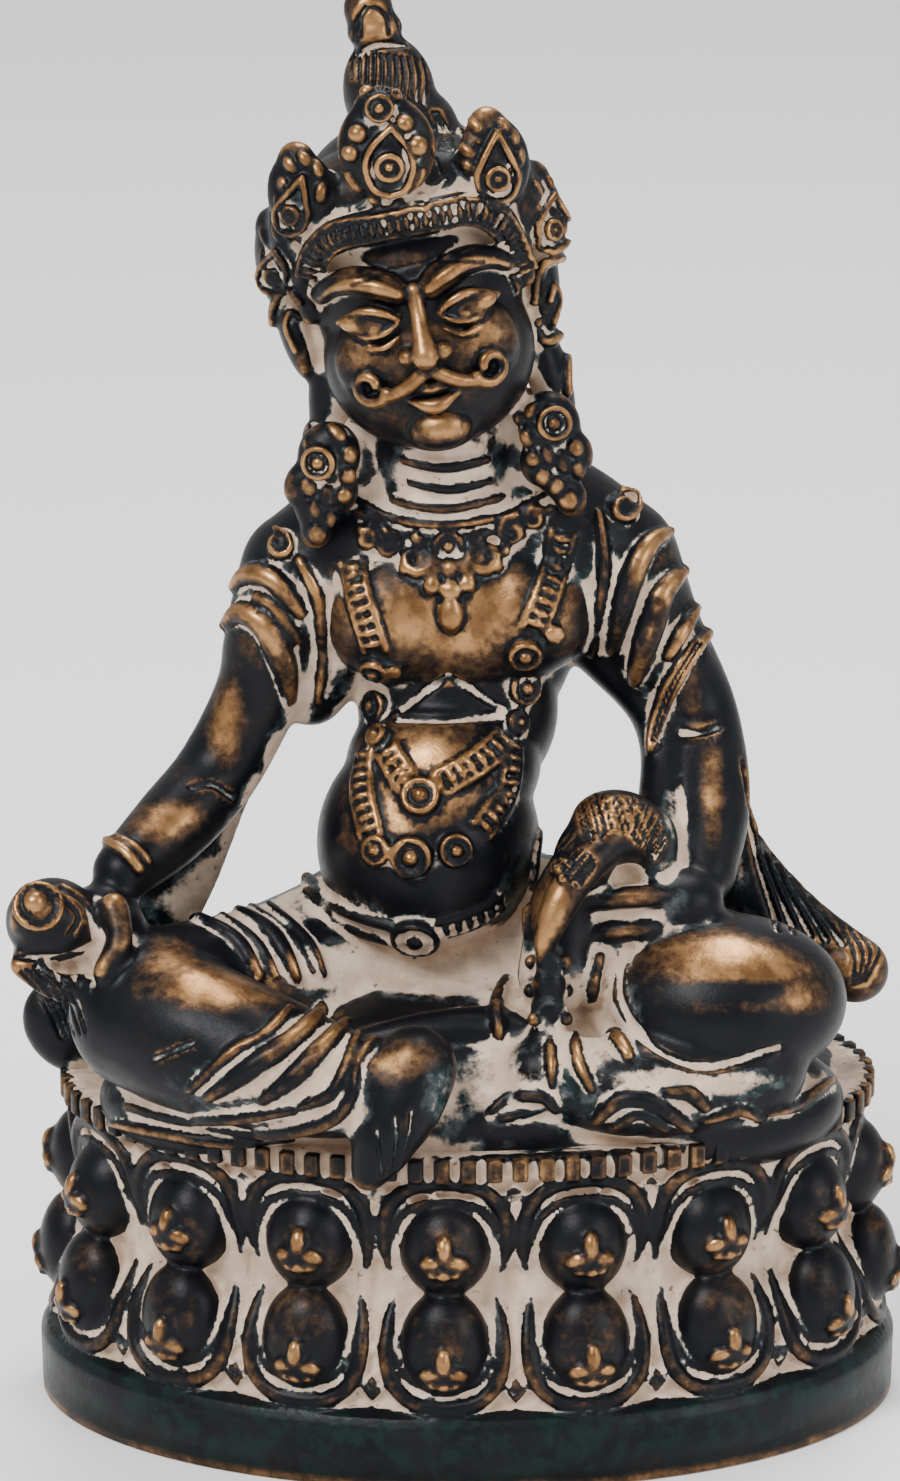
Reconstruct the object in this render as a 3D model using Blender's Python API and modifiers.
"""A small brass Kubera seated in royal ease on a double lotus, cast in one piece.

The wax of such a casting is built up from pressed lumps and rolls and smoothed with a warm
tool, and the jewellery and the folds are laid on it last. This script works the same way.
Balls, rolls and bands of wax are pressed together, one voxel Remesh makes them a single
skin, and the second layer is then laid where a line of sight from the front meets that skin.

Lengths are metres, +Z is up and -Y is the front. The figure keeps the proportions of its
own canon: a place on it is in parts, PARTS_IN_FIGURE of them from its zero to the tip of
the topknot, with x to the viewer's right, y to the back and z up.
"""

import math

import bmesh
import bpy
import numpy as np
from mathutils import Euler, Matrix, Vector
from mathutils.bvhtree import BVHTree

# Driving sizes
FIGURE_HEIGHT = 0.140
BASE_WIDTH = 0.1088
BASE_DEPTH = 0.0770
BASE_HEIGHT = 0.0422
PLINTH_HEIGHT = 0.0095
RIM_HEIGHT = 0.0034
PETAL_BULGE = 0.0048
SEAT_DIP = 0.0022

# The lotus
PETALS = 16
FIRST_PETAL_SHIFT = -0.0030
WAIST_SHARE = 0.443
OVAL_SIDES = 96

# Making of the skin
VOXEL = 0.0007
BODY_SMOOTHING = 6
LAST_SMOOTHING = 2
TRIANGLES = 9400
FLOOR_SINK = 0.0020

# The canon of the figure
PARTS_IN_FIGURE = 140.0
PART = FIGURE_HEIGHT / PARTS_IN_FIGURE
HEAD_CENTRE = Vector((-5.9, -1.0, 102.0))
HEAD_ROLL = math.radians(-10.5)
SIGHT_RISE = math.radians(17.0)


class Wax:
    """A heap of closed lumps: each is a ball or a disc placed by a matrix."""

    def __init__(self):
        self.patterns = {}
        self.points = []
        self.triangles = []
        self.count = 0

    def pattern(self, make, **sizes):
        """The points and triangles of a primitive, made once for each set of sizes."""
        key = (make, tuple(sizes.items()))
        if key not in self.patterns:
            lump = bmesh.new()
            getattr(bmesh.ops, make)(lump, **sizes)
            bmesh.ops.triangulate(lump, faces=lump.faces)
            lump.verts.index_update()
            points = np.array([v.co for v in lump.verts])
            triangles = np.array([[v.index for v in f.verts] for f in lump.faces])
            lump.free()
            self.patterns[key] = (points, triangles)
        return self.patterns[key]

    def add(self, matrix, make, **sizes):
        points, triangles = self.pattern(make, **sizes)
        matrix = np.array(matrix)
        self.points.append(points @ matrix[:3, :3].T + matrix[:3, 3])
        self.triangles.append(triangles + self.count)
        self.count += len(points)

    def add_mesh(self, mesh):
        """Adds a mesh of triangles or quads as it is."""
        points = np.empty(len(mesh.vertices) * 3, np.float32)
        mesh.vertices.foreach_get("co", points)
        mesh.calc_loop_triangles()
        triangles = np.empty(len(mesh.loop_triangles) * 3, np.int32)
        mesh.loop_triangles.foreach_get("vertices", triangles)
        self.points.append(points.reshape(-1, 3))
        self.triangles.append(triangles.reshape(-1, 3) + self.count)
        self.count += len(mesh.vertices)

    def mesh(self):
        return mesh_of("wax", np.vstack(self.points), np.vstack(self.triangles))


def mesh_of(name, points, triangles):
    """A mesh of triangles from two arrays."""
    mesh = bpy.data.meshes.new(name)
    mesh.vertices.add(len(points))
    mesh.vertices.foreach_set("co", np.ascontiguousarray(points, np.float32).ravel())
    mesh.loops.add(len(triangles) * 3)
    mesh.loops.foreach_set("vertex_index", np.ascontiguousarray(triangles, np.int32).ravel())
    mesh.polygons.add(len(triangles))
    mesh.polygons.foreach_set("loop_start", np.arange(len(triangles), dtype=np.int32) * 3)
    mesh.update(calc_edges=True)
    return mesh


def place(x, y, z):
    """A point of the figure's canon, in metres. Its zero is in the dip of the seat."""
    return Vector((x * PART, y * PART, BASE_HEIGHT - SEAT_DIP + z * PART))


def on_head(x, y, z):
    """A place given from the middle of the head, as a place of the canon."""
    rolled = Matrix.Rotation(HEAD_ROLL, 3, "Y") @ Vector((x, y, z))
    return tuple(HEAD_CENTRE + rolled)


def turned(turn):
    return Euler([math.radians(a) for a in turn]).to_matrix()


def press(wax, centre, radii, turn=None, fine=3):
    """Presses an ellipsoid of wax into the model; everything here is in metres."""
    matrix = Matrix.Translation(centre)
    if turn is not None:
        matrix = matrix @ turn.to_4x4()
    matrix = matrix @ Matrix.Diagonal((*radii, 1.0))
    wax.add(matrix, "create_icosphere", subdivisions=fine, radius=1.0)


def ball(wax, x, y, z, radii, turn=(0, 0, 0), fine=3):
    """An ellipsoid in parts of the canon, turned by degrees about X, Y and Z."""
    press(wax, place(x, y, z), [r * PART for r in radii], turned(turn), fine)


def head_ball(wax, x, y, z, radii, turn=(0, 0, 0), fine=3):
    """An ellipsoid placed from the middle of the head and rolled with it."""
    matrix = Matrix.Rotation(HEAD_ROLL, 3, "Y") @ turned(turn)
    press(wax, place(*on_head(x, y, z)), [r * PART for r in radii], matrix, fine)


def spline(stations, spacing):
    """A smooth run through the stations, rows of numbers, with points at most spacing apart."""
    rows = np.array(stations, float)
    padded = np.vstack([2 * rows[0] - rows[1], rows, 2 * rows[-1] - rows[-2]])
    made = []
    for a, b, c, d in zip(padded, padded[1:], padded[2:], padded[3:]):
        length = np.linalg.norm((c - b)[:3])
        steps = max(1, math.ceil(length / spacing))
        for t in np.arange(steps) / steps:
            bend = (2 * a - 5 * b + 4 * c - d) * t**2 + (3 * b - a - 3 * c + d) * t**3
            made.append(0.5 * (2 * b + (c - a) * t + bend))
    made.append(rows[-1])
    return np.array(made)


def roll(wax, stations, spacing=1.2):
    """A roll of wax through stations of x, y, z and radius."""
    for x, y, z, radius in spline(stations, spacing):
        ball(wax, x, y, z, (radius, radius, radius), fine=2 if radius < 3 else 3)


def head_roll(wax, stations, spacing=0.8):
    """A roll of wax through stations given from the middle of the head."""
    roll(wax, [(*on_head(*station[:3]), station[3]) for station in stations], spacing)


def band(wax, stations, thickness, facing, spacing=1.5):
    """A flat band through stations of x, y, z and half width, its broad side to facing."""
    points = spline(stations, spacing)
    for i, (x, y, z, half) in enumerate(points):
        ahead, behind = points[min(i + 1, len(points) - 1)], points[max(i - 1, 0)]
        along = Vector((ahead - behind)[:3]).normalized()
        normal = Vector(facing)
        normal = (normal - along * normal.dot(along)).normalized()
        turn = Matrix((along, normal.cross(along), normal)).transposed()
        radii = (max(half * 0.6, 1.8 * spacing) * PART, half * PART, thickness * PART)
        press(wax, place(x, y, z), radii, turn)


def oval(angle, half_width, half_depth):
    """A point of the base's oval; angle 0 is the front and grows to the viewer's right."""
    return Vector((half_width * math.sin(angle), -half_depth * math.cos(angle), 0.0))


def even_angles(count, shift):
    """Angles of equal steps along the oval's edge, the first shift metres from the front."""
    fine = np.linspace(0, 2 * math.pi, 2881)
    edge = np.column_stack([BASE_WIDTH / 2 * np.sin(fine), BASE_DEPTH / 2 * np.cos(fine)])
    run = np.concatenate([[0], np.cumsum(np.linalg.norm(np.diff(edge, axis=0), axis=1))])
    wanted = (np.arange(count) / count * run[-1] + shift) % run[-1]
    return np.interp(wanted, run, fine)


def inset(height):
    """How far the lotus core stands in from the plinth's edge at a height, most at its waist."""
    share = (height - PLINTH_HEIGHT) / (BASE_HEIGHT - PLINTH_HEIGHT)
    share = min(max(share, 0.0), 1.0)
    nip = math.exp(-(((share - WAIST_SHARE) / 0.16) ** 2))
    return 0.0030 + 0.0024 * nip + 0.0030 * min(share / 0.6, 1.0)


def base_core(wax):
    """The plinth, the waisted core between it and the seat, and the rim of the seat."""
    def slab(low, high, edge_low, edge_high):
        scale = Matrix.Diagonal((1.0, BASE_DEPTH / BASE_WIDTH, 1.0, 1.0))
        move = Matrix.Translation((0, 0, (low + high) / 2))
        wax.add(
            move @ scale, "create_cone", cap_ends=True, segments=OVAL_SIDES,
            radius1=BASE_WIDTH / 2 - edge_low, radius2=BASE_WIDTH / 2 - edge_high, depth=high - low)

    round_edge = 0.0012
    slab(-FLOOR_SINK, PLINTH_HEIGHT - round_edge, 0.0, 0.0)
    slab(PLINTH_HEIGHT - 2 * round_edge, PLINTH_HEIGHT, 0.0, round_edge)
    heights = np.linspace(PLINTH_HEIGHT - 0.001, BASE_HEIGHT - RIM_HEIGHT, 13)
    for low, high in zip(heights, heights[1:]):
        slab(low - 0.0002, high + 0.0002, inset(low), inset(high))
    rim_inset = 0.0034
    slab(BASE_HEIGHT - RIM_HEIGHT, BASE_HEIGHT, rim_inset, rim_inset)


def petal(wax, angle, middle, tip, side, bulge):
    """One petal: a raised edge from the waist round its tip, and the bulge inside the edge.

    middle and tip are heights, side is the half width of the petal, and bulge holds the
    middle and half height of the bulge as shares of the petal's height.
    """
    half_width, half_depth = BASE_WIDTH / 2, BASE_DEPTH / 2
    tangent = Vector((half_width * math.cos(angle), half_depth * math.sin(angle), 0)).normalized()
    outward = Vector((tangent.y, -tangent.x, 0.0))
    frame = Matrix((tangent, outward, Vector((0, 0, 1)))).transposed()
    turning = (half_width**2 * math.cos(angle) ** 2 + half_depth**2 * math.sin(angle) ** 2) ** 1.5
    curve_radius = turning / (half_width * half_depth)

    def spot(across, height, proud):
        bend = across**2 / (2 * curve_radius)
        centre = oval(angle, half_width, half_depth)
        centre += tangent * across - outward * (inset(height) + bend - proud)
        centre.z = height
        return centre

    reach = tip - middle
    for step in range(21):
        swing = math.pi * step / 20
        across, height = side * math.cos(swing), middle + reach * math.sin(swing)
        press(wax, spot(across, height, 0.0010), [0.0015] * 3, fine=2)
    radii = (side * 0.73, PETAL_BULGE, abs(reach) * bulge[1])
    press(wax, spot(0.0, middle + reach * bulge[0], 0.0004), radii, frame)


def lotus(wax):
    """Both rows of petals, tip down below the waist and tip up above it."""
    waist = PLINTH_HEIGHT + WAIST_SHARE * (BASE_HEIGHT - PLINTH_HEIGHT)
    pitch = math.pi * (BASE_WIDTH + BASE_DEPTH) / 2 / PETALS
    for angle in even_angles(PETALS, FIRST_PETAL_SHIFT):
        petal(wax, angle, waist - 0.0005, PLINTH_HEIGHT + 0.0006, 0.435 * pitch, (0.49, 0.53))
        top = BASE_HEIGHT - RIM_HEIGHT - 0.0005
        petal(wax, angle, waist + 0.0005, top, 0.455 * pitch, (0.40, 0.48))


def torso(wax):
    """Hips, round belly, chest, shoulders and neck."""
    ball(wax, -2, 6, 17, (23, 16, 12), fine=4)
    ball(wax, -1.2, 6.5, 58, (15.0, 9.5, 17), fine=4)
    ball(wax, -13.5, 0.5, 82, (5.0, 5.0, 6.0))
    ball(wax, 6.5, 0.5, 84, (5.0, 5.0, 6.0))
    ball(wax, -4.9, -3.2, 32.5, (14.0, 13.6, 14.6), fine=4)
    ball(wax, -3.0, -1.0, 42, (12.2, 12.0, 9.5), fine=4)
    ball(wax, -1.2, 3.2, 48, (12.6, 9.6, 13), fine=4)
    ball(wax, -1.4, 2.6, 62.5, (16.7, 11.0, 13.0), fine=4)
    ball(wax, -8.6, -0.6, 61.5, (9.4, 8.2, 9.0), fine=4)
    ball(wax, 6.4, -0.6, 62, (9.4, 8.2, 9.0), fine=4)
    roll(wax, [(-2.6, 3, 75, 9.8), (-3.4, 0.5, 84, 9.3), (-4.4, -0.5, 92, 8.8)])
    roll(wax, [(-20.3, 3.5, 65.5, 8.0), (-12, 3.5, 71.5, 8.2), (-2, 3.5, 74.5, 8.2), (9, 3.5, 73.0, 8.4),
               (18.2, 3.5, 67.0, 8.2)])


def arms(wax):
    """His right arm reaches out to the knee, his left bends down to the lap."""
    roll(wax, [(-20.5, 3.5, 65.5, 8.0), (-24.0, 3, 57.5, 6.4), (-26.2, 2.5, 50, 5.5), (-31.2, 1, 40.5, 5.3),
               (-36.8, -5, 35.2, 5.1), (-42.6, -12.5, 31.5, 3.9)])
    roll(wax, [(18.4, 3.5, 66.5, 8.2), (22.8, 4.5, 57, 6.8), (28.4, 5, 46.5, 5.6), (30.4, -3.5, 38, 4.9),
               (29.4, -11, 31, 4.0)])
    roll(wax, [(-15.5, 4.5, 57, 6.0), (-19.6, 4.5, 50, 4.6)])
    roll(wax, [(14.0, 4.0, 61, 6.0), (17.5, 4.5, 55.5, 4.4), (23.5, 4.0, 49, 4.2), (24.8, 0.5, 43.5, 3.4),
               (24.2, -5, 38, 3.2), (24.0, -10, 34, 3.2)])


def hands(wax):
    """The right hand cups a lemon on the knee; the left closes round the mongoose."""
    ball(wax, -45.5, -16.5, 24.5, (6.2, 6.0, 6.4))
    ball(wax, -51.0, -20.0, 27.6, (5.9, 5.6, 5.4))
    ball(wax, -53.0, -23.6, 29.4, (3.4, 2.6, 2.4), (0, -30, 0))
    for finger in range(4):
        low = 21.6 - 0.5 * finger
        front = -24.5 + 3.4 * finger
        roll(wax, [(-44, front + 3, low - 2, 2.0), (-50, front, low - 1.2, 1.9),
                   (-54.8, front + 0.8, low + 1.5, 1.6)])
    roll(wax, [(-43.4, -21, 29.6, 2.0), (-42.6, -23.5, 26.0, 1.8), (-44.6, -25.2, 22.8, 1.5)])
    ball(wax, 26.5, -15.5, 28.6, (5.2, 4.6, 4.2))
    for low, reach, radius in ((29.9, 14.8, 1.7), (25.6, 16.0, 1.4)):
        roll(wax, [(26.5, -17.0, low, radius + 0.2), (20.5, -19.6, low + 0.7, radius),
                   (reach, -19.2, low + 0.1, radius - 0.3)])


def mongoose(wax):
    """The mongoose crouches over the hand, its head down, a string of jewels in its mouth."""
    ball(wax, 18.4, -16.0, 38.4, (6.0, 5.6, 4.6), (0, 8, 0))
    ball(wax, 22.6, -14.5, 35.6, (3.4, 4.4, 5.0))
    ball(wax, 14.6, -17.5, 35.4, (4.0, 5.0, 5.2), (0, 25, 0))
    roll(wax, [(16.6, -20.6, 37.0, 2.4), (14.0, -22.6, 35.2, 2.5), (11.4, -24.4, 31.6, 2.4),
               (9.8, -25.6, 28.0, 1.9), (9.0, -26.4, 25.6, 1.2)])
    for down, radius in ((24.0, 1.7), (21.2, 2.1), (18.0, 2.3), (14.6, 2.2), (12.0, 1.8)):
        ball(wax, 9.9, -25.6, down, (radius + 0.2, radius, radius))
    roll(wax, [(14.0, -17.0, 34, 3.6), (12.0, -16.0, 28, 4.5), (11.0, -18.0, 20, 5.0)])
    ball(wax, 17.5, -12.5, 24.0, (9.0, 7.0, 10.5))


def legs(wax):
    """Royal ease: the left leg folded on the seat, the right foot hanging over its rim."""
    roll(wax, [(9, 3, 16, 12.5), (20, -5, 16, 12.0), (29, -14.5, 16.6, 10.8)])
    ball(wax, 31.5, -17.0, 16.4, (15.4, 13.0, 10.6), fine=4)
    roll(wax, [(34, -22, 10, 8.0), (20, -27.0, 8.5, 6.5), (9, -26.5, 10.0, 4.8)])
    roll(wax, [(9, -23.0, 11.5, 3.8), (3, -21.5, 13.6, 3.4), (-6, -22.5, 13.8, 2.6),
               (-13.5, -22.5, 12.8, 1.6)])
    roll(wax, [(-12, 3, 15, 12.5), (-25, -7, 14, 11.0), (-38, -17.5, 15.6, 10.0)])
    roll(wax, [(-39.5, -19.5, 15.4, 9.8), (-33.5, -24.5, 14.2, 9.6), (-25, -28.5, 12.2, 8.6),
               (-16.5, -32, 10.8, 7.0), (-10, -34.0, 11.0, 5.6)])
    roll(wax, [(-6.6, -34.0, 13.2, 5.4), (-7.6, -36.0, 9.2, 5.4), (-10.0, -37.4, 5.0, 4.4),
               (-11.6, -37.8, 1.6, 3.0)])


def lap_cloth(wax):
    """The cloth that fills the lap and runs down over the seat to its rim."""
    ball(wax, 0.5, -8.0, 3.5, (32, 23.5, 14.0), fine=4)
    ball(wax, -24, -13.5, 2.5, (22, 16, 8.0), fine=4)
    ball(wax, 26, -13.0, 2.0, (21, 16, 8.5), fine=4)
    ball(wax, 0, 5, 2.5, (43, 26, 8.0), fine=4)


def scarves(wax):
    """A long scarf falls from both shoulders behind the arms and flares beside the knees."""
    band(wax, [(21, 7.5, 66, 4.0), (25.5, 9, 52, 4.5), (30.0, 8.5, 38, 4.6), (33.6, 7, 27, 5.0),
               (39.5, 5, 18, 6.0)], 2.0, (0.35, -1, 0.1))
    band(wax, [(34, 6, 25, 5.5), (41, 4.5, 18.5, 5.2), (49.0, 3.5, 14.2, 3.8)], 2.8, (0.1, -1, 0.2))
    ball(wax, 49.0, 3.0, 13.6, (4.4, 3.6, 4.4), (0, 25, 0))
    band(wax, [(-22.5, 6.0, 62, 3.4), (-26.0, 5.5, 50, 4.4), (-32.0, 4.5, 37, 5.2), (-38.0, 3, 25, 6.4),
               (-44.5, 2.2, 14, 6.2)], 2.4, (0.45, -1, 0.2))
    band(wax, [(-40, 2, 18, 5.0), (-47, 1.5, 12, 5.2), (-52.4, 1.2, 8.4, 4.2)], 2.6, (-0.1, -1, 0.2))
    ball(wax, -51.0, 1.0, 6.5, (4.8, 3.6, 6.4), (0, -35, 0))
    roll(wax, [(-20, 9.0, 66, 4.5), (-10, 12.5, 59, 4.5), (0, 13.5, 56, 4.5), (10, 12.5, 59, 4.5),
               (20, 9.0, 66, 4.5)])


def head(wax):
    """Skull, jaw, ears and the hair behind them, all rolled with the head."""
    head_ball(wax, 0, 0, 1.0, (13.2, 13.6, 15.8), fine=4)
    head_ball(wax, 0, -4.2, -6.4, (13.0, 10.4, 12.0), fine=4)
    head_ball(wax, 0, -8.6, -14.0, (5.6, 4.6, 3.8))
    head_ball(wax, 0, 2.0, 11.0, (13.0, 12.6, 11.0), fine=4)
    head_ball(wax, 0, 3.5, -2.0, (15.2, 9.5, 14.0), fine=4)
    head_roll(wax, [(0, 8.0, 2, 9.0), (0, 7.5, -10, 8.6), (0.5, 8.0, -22, 7.6), (1.0, 7.5, -32, 6.0)], 1.2)
    for side in (-1, 1):
        head_ball(wax, side * 5.8, -10.8, -5.6, (4.6, 3.6, 4.6))
        ear_x = side * 15.0 - (0.8 if side < 0 else 0.0)
        head_ball(wax, ear_x, 0.5, -1.0, (2.2, 3.6, 7.6), (0, side * 5, 0))
        head_ball(wax, side * 13.6, 1.0, -13.0, (2.7, 3.6, 8.4), (0, side * -6, 0))


def face(wax):
    """Brows, closed lids, nose, lips and a curled moustache, in the thirds of a common canon."""
    for side in (-1, 1):
        head_roll(wax, [(side * 2.0, -14.4, 3.9, 0.9), (side * 5.4, -13.7, 5.4, 1.2),
                        (side * 10.4, -10.6, 4.6, 0.6)])
        head_ball(wax, side * 5.8, -12.6, 0.8, (3.5, 1.6, 1.6), (0, side * -8, 0))
        curl = ((0.8, -6.2, 1.1), (3.4, -7.2, 1.2), (5.8, -8.2, 1.1), (7.8, -7.2, 1.0), (8.4, -5.0, 0.9))
        head_roll(wax, [(side * a, -14.8 + 0.34 * a, z, r) for a, z, r in curl])
        head_ball(wax, side * 1.9, -15.3, -3.6, (1.6, 1.6, 1.2))
    head_roll(wax, [(0, -13.6, 3.0, 1.2), (0, -14.8, -0.8, 1.3), (0, -16.2, -3.6, 1.7)])
    head_ball(wax, 0, -13.6, -8.6, (3.2, 1.5, 0.9))
    head_ball(wax, 0, -13.3, -10.2, (2.8, 1.6, 1.0))
    head_ball(wax, 0, -11.6, -13.4, (3.4, 2.4, 2.2))


def crown_leaf(wax, centre, half_width, half_height, yaw, lean):
    """One leaf of the crown: a pointed shield with a jewel, facing yaw degrees round the head."""
    turn = (lean, 0, yaw)
    head_ball(wax, *centre, (half_width, 2.2, half_height * 0.86), turn)
    frame = turned(turn)
    tip = Vector(centre) + frame @ Vector((0, 0, half_height * 0.62))
    head_ball(wax, *tip, (half_width * 0.56, 1.8, half_height * 0.40), turn)
    jewel = Vector(centre) + frame @ Vector((0, -1.6, -half_height * 0.24))
    head_ball(wax, *jewel, (half_width * 0.46, 1.4, half_width * 0.62), turn)


def crown(wax):
    """Five leaves on a ribbed band that frames the forehead, and the topknot behind them."""
    arch = [(-13.2, -5.0, 1.0, 1.6), (-13.0, -7.0, 6.4, 1.6), (-8.5, -11.4, 11.4, 1.8), (0, -13.6, 13.0, 1.9),
            (8.5, -11.4, 11.4, 1.8), (13.0, -7.0, 6.4, 1.6), (13.2, -5.0, 1.0, 1.6)]
    head_roll(wax, arch)
    head_ball(wax, 0, -4.0, 15.0, (13.0, 8.6, 5.6), fine=4)
    crown_leaf(wax, (0, -13.6, 21.6), 6.0, 8.0, 0, -4)
    for side, x in ((-1, -11.3), (1, 12.2)):
        crown_leaf(wax, (x, -9.0, 16.4), 4.6, 6.8, side * 22, -4)
        crown_leaf(wax, (side * 16.6, 0.0, 7.0), 4.2, 6.8, side * 76, -2)
        head_ball(wax, side * 14.0, -2.0, 10.0, (3.0, 6.0, 6.0))
    head_ball(wax, 0.8, 3.0, 24.6, (5.7, 5.7, 7.4))
    head_ball(wax, 3.6, 2.0, 19.0, (5.0, 5.0, 6.0))
    head_ball(wax, 0.5, 3.0, 32.6, (3.5, 3.5, 2.4))
    head_ball(wax, 0.2, 3.0, 35.2, (3.1, 3.1, 3.3))


def earring(wax, x, y, z, swing):
    """A round ear ornament with drops that rest on the shoulder."""
    ball(wax, x, y, z, (4.0, 2.8, 4.4), (0, swing, 0))
    lean = Matrix.Rotation(math.radians(swing), 3, "Y")
    for across, down, size in ((-2.4, -4.4, 2.4), (2.2, -4.2, 2.4), (-0.4, -6.6, 2.5), (0.4, -9.4, 2.1)):
        shift = lean @ Vector((across, 0, down))
        ball(wax, x + shift.x, y + shift.y, z + shift.z, (size, 2.3, size * 1.25), (0, swing, 0))


class Sight:
    """Lays wax on a finished skin where a line of sight from the front meets it.

    A place is x and h, both in parts: h is the height at which the line, which comes down
    from SIGHT_RISE above the front, crosses the middle plane of the figure.
    """

    def __init__(self, mesh):
        points = [tuple(v.co) for v in mesh.vertices]
        faces = [tuple(p.vertices) for p in mesh.polygons]
        self.tree = BVHTree.FromPolygons(points, faces)
        self.line = Vector((0, math.cos(SIGHT_RISE), -math.sin(SIGHT_RISE)))

    def meet(self, x, h):
        """The point and the outward normal where the line through x and h meets the skin."""
        start = place(x, 0, h) - self.line * 0.3
        point, normal, _, _ = self.tree.ray_cast(start, self.line)
        return (point, normal) if point is not None else (None, None)

    def boss(self, wax, x, h, radius, proud=1.3):
        """A round boss that stands proud of the skin."""
        point, normal = self.meet(x, h)
        if point is None:
            return
        turn = normal.to_track_quat("Z", "Y").to_matrix()
        press(wax, point, [radius * PART, radius * PART, proud * PART], turn)
        press(wax, point, [0.5 * radius * PART, 0.5 * radius * PART, 1.5 * proud * PART], turn, fine=2)

    def string(self, wax, places, radius, proud=0.4, spacing=0.8):
        """A roll laid on the skin through places of x and h, its middle proud of the skin."""
        for x, _, h in spline([(x, 0, h) for x, h in places], spacing):
            point, normal = self.meet(x, h)
            if point is not None:
                press(wax, point + normal * proud * PART, [radius * PART] * 3, fine=2)


def jewellery(wax, sight):
    """The necklace with its pendant, the crossed strings with their bosses, and the belt."""
    for x, h, radius in ((-2.1, 70.4, 2.4), (-11.4, 53.8, 2.3), (-11.2, 48.8, 2.3), (-11.0, 44.7, 1.8),
                         (7.2, 55.5, 2.3), (7.4, 51.0, 2.4), (6.3, 46.4, 2.0), (10.7, 58.3, 1.3),
                         (-5.8, 37.0, 2.6), (-11.2, 30.1, 2.0), (-6.7, 29.2, 2.7), (-1.5, 29.9, 2.2),
                         (-6.1, 19.7, 3.2), (-7.0, 69.5, 2.2), (3.2, 69.8, 2.2), (-2.2, 66.0, 2.6)):
        sight.boss(wax, x, h, radius)
    sight.boss(wax, -1.8, 61.6, 1.8, 1.2)
    for side in (-1, 1):
        collar = [(-2.1 + side * 13.5, 75.5), (-2.1 + side * 9.0, 72.0), (-2.1 + side * 4, 71.5)]
        sight.string(wax, collar, 1.3)
    for places in (
        [(-13.9, 69.5), (-13.4, 63), (-11.8, 56.1)], [(11.2, 70.2), (9.8, 64), (7.6, 57.6)],
        [(-10.4, 43.6), (-8.6, 40.4), (-6.8, 38.4)], [(4.9, 45.0), (0.6, 41.6), (-4.2, 38.2)],
        [(-12.6, 43.4), (-13.2, 37.5), (-11.6, 31.6)], [(5.6, 44.0), (4.6, 37.0), (-0.4, 31.4)],
        [(-18.6, 25.2), (-13.5, 22.2), (-9.0, 20.6)], [(-3.0, 20.2), (2.0, 21.5), (6.0, 24.0)],
    ):
        sight.string(wax, places, 1.35, 0.6)


def folds(wax, sight):
    """Rolls of the scarf over both upper arms, and hems and folds of the lower garment."""
    for places, radius in (
        ([(-29.0, 62.4), (-26.0, 66.0), (-21.5, 66.2), (-17.5, 61.0)], 1.7),
        ([(-29.4, 57.6), (-26.6, 60.6), (-22.6, 57.6), (-19.6, 50.6)], 1.9),
        ([(-29.0, 54.2), (-26.0, 56.4), (-23.0, 53.0), (-21.2, 47.6)], 1.5),
        ([(12.8, 71.0), (13.2, 64), (14.8, 56.5)], 1.5),
        ([(21.0, 72.0), (18.0, 66), (17.4, 57.0)], 1.9),
        ([(26.6, 66.5), (22.4, 62.5), (19.8, 55.0)], 2.0),
        ([(27.8, 60.5), (24.0, 57.0), (21.6, 51.8)], 1.6),
        ([(29.2, 57.8), (26.4, 53.2), (23.0, 45.5)], 2.3),
    ):
        sight.string(wax, places, radius, 0.2, 1.0)
    for places, radius in (
        ([(-28.5, 7.5), (-22.5, 10.5), (-17.5, 15.0)], 1.3),
        ([(-24.5, 4.5), (-18.5, 8.0), (-14.2, 12.8)], 1.3),
        ([(-20.0, 2.4), (-15.0, 5.6), (-11.8, 9.6)], 1.1),
        ([(-45.0, 0.2), (-36.0, -2.5), (-27.0, -3.6), (-18.5, -2.8)], 1.2),
        ([(-47.0, -3.2), (-37.0, -5.6), (-27.0, -6.6), (-17.0, -6.4)], 1.2),
        ([(5.0, -3.0), (9.0, 0.2), (14.0, -3.4), (18.5, -1.6)], 1.3),
        ([(19.0, -2.6), (26.0, 0.0), (33.0, -3.6), (39.0, -2.0)], 1.3),
        ([(17.2, 18.5), (16.2, 11.5), (19.2, 5.0), (26.0, 1.8)], 1.3),
        ([(-32.0, 22.0), (-26.5, 17.5), (-22.0, 12.5)], 1.0),
        ([(-27.5, 23.0), (-22.5, 18.5), (-18.5, 14.0)], 1.0),
    ):
        sight.string(wax, places, radius, 0.1, 1.0)
    for k in range(5):
        sight.string(wax, [(33.5 + 1.6 * k, 31.0 - 2.2 * k), (36.5 + 2.2 * k, 24.0 - 2.0 * k),
                           (40.5 + 2.4 * k, 17.5 - 1.4 * k)], 0.9, 0.3, 1.0)


def evaluated_copy(source):
    """The object's mesh with its modifiers applied."""
    graph = bpy.context.evaluated_depsgraph_get()
    return bpy.data.meshes.new_from_object(source.evaluated_get(graph), depsgraph=graph)


def one_skin(mesh, collection, steps):
    """A voxel Remesh makes one closed skin of the lumps, and Smooth softens their joints."""
    lumps = bpy.data.objects.new("wax_lumps", mesh)
    collection.objects.link(lumps)
    remesh = lumps.modifiers.new("one skin", "REMESH")
    remesh.mode = "VOXEL"
    remesh.voxel_size = VOXEL
    smooth = lumps.modifiers.new("warm tool", "SMOOTH")
    smooth.factor = 0.5
    smooth.iterations = round(steps)
    skin = evaluated_copy(lumps)
    bpy.data.objects.remove(lumps)
    return skin


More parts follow.
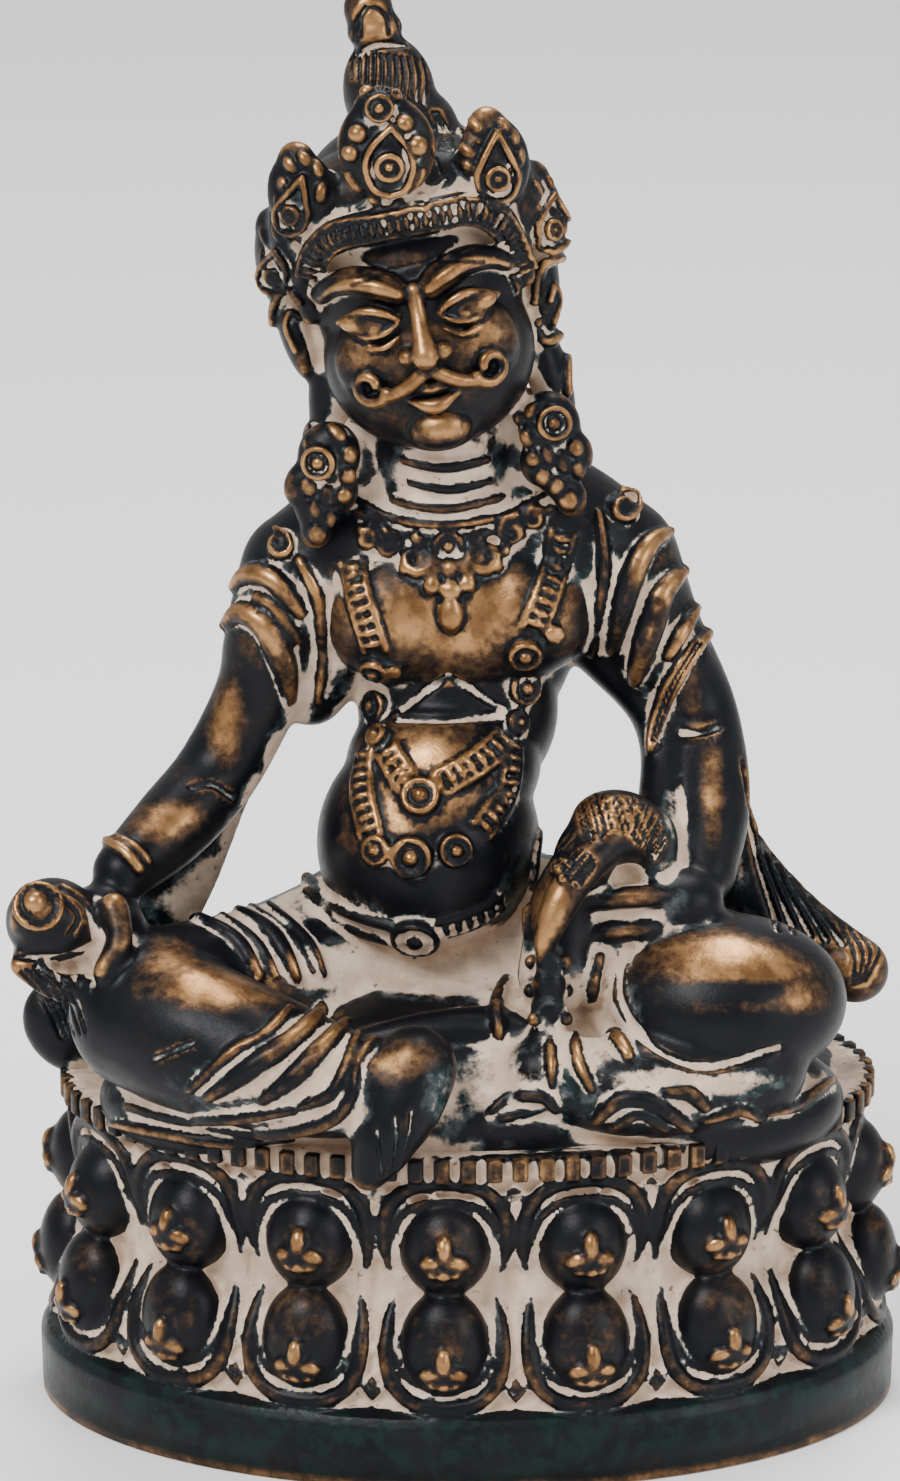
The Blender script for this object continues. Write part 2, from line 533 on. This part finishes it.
def brass():
    """Dark bronze-toned brass, as the casting looks from a step away."""
    material = bpy.data.materials.new("patinated_brass")
    material.use_nodes = True
    shader = material.node_tree.nodes["Principled BSDF"]
    shader.inputs["Base Color"].default_value = (0.20, 0.14, 0.09, 1.0)
    shader.inputs["Metallic"].default_value = 1.0
    shader.inputs["Roughness"].default_value = 0.42
    return material


def floor_cutter(collection):
    """The block that cuts the underside flat at z = 0."""
    bpy.ops.mesh.primitive_cube_add(size=1.0, location=(0, 0, -0.5))
    cutter = bpy.context.object
    cutter.name = "floor_cutter"
    for owner in list(cutter.users_collection):
        owner.objects.unlink(cutter)
    collection.objects.link(cutter)
    cutter.hide_render = True
    cutter.display_type = "WIRE"
    return cutter


def statue(parts, cutters):
    """The casting: body first, then what lies on it, thinned to few triangles, cut flat below."""
    body = Wax()
    for step in (torso, arms, hands, mongoose, legs, lap_cloth, scarves, head):
        step(body)
    base_core(body)
    body_skin = one_skin(body.mesh(), parts, BODY_SMOOTHING)
    upper = Wax()
    upper.add_mesh(body_skin)
    for step in (lotus, face, crown):
        step(upper)
    earring(upper, -17.0, -6.4, 83.0, 12)
    earring(upper, 9.9, -6.4, 86.8, -14)
    sight = Sight(body_skin)
    jewellery(upper, sight)
    folds(upper, sight)
    skin = one_skin(upper.mesh(), parts, LAST_SMOOTHING)
    casting = bpy.data.objects.new("kubera_statue", skin)
    parts.objects.link(casting)
    thin = casting.modifiers.new("fewer triangles", "DECIMATE")
    thin.ratio = TRIANGLES / (2 * len(skin.polygons))
    thin.use_collapse_triangulate = True
    flat = casting.modifiers.new("flat underside", "BOOLEAN")
    flat.operation = "DIFFERENCE"
    flat.object = floor_cutter(cutters)
    casting.data.materials.clear()
    casting.data.materials.append(brass())
    return casting


def main():
    for old in list(bpy.data.objects):
        bpy.data.objects.remove(old)
    parts = bpy.data.collections.new("kubera")
    cutters = bpy.data.collections.new("cutters")
    for collection in (parts, cutters):
        bpy.context.scene.collection.children.link(collection)
    statue(parts, cutters)


main()
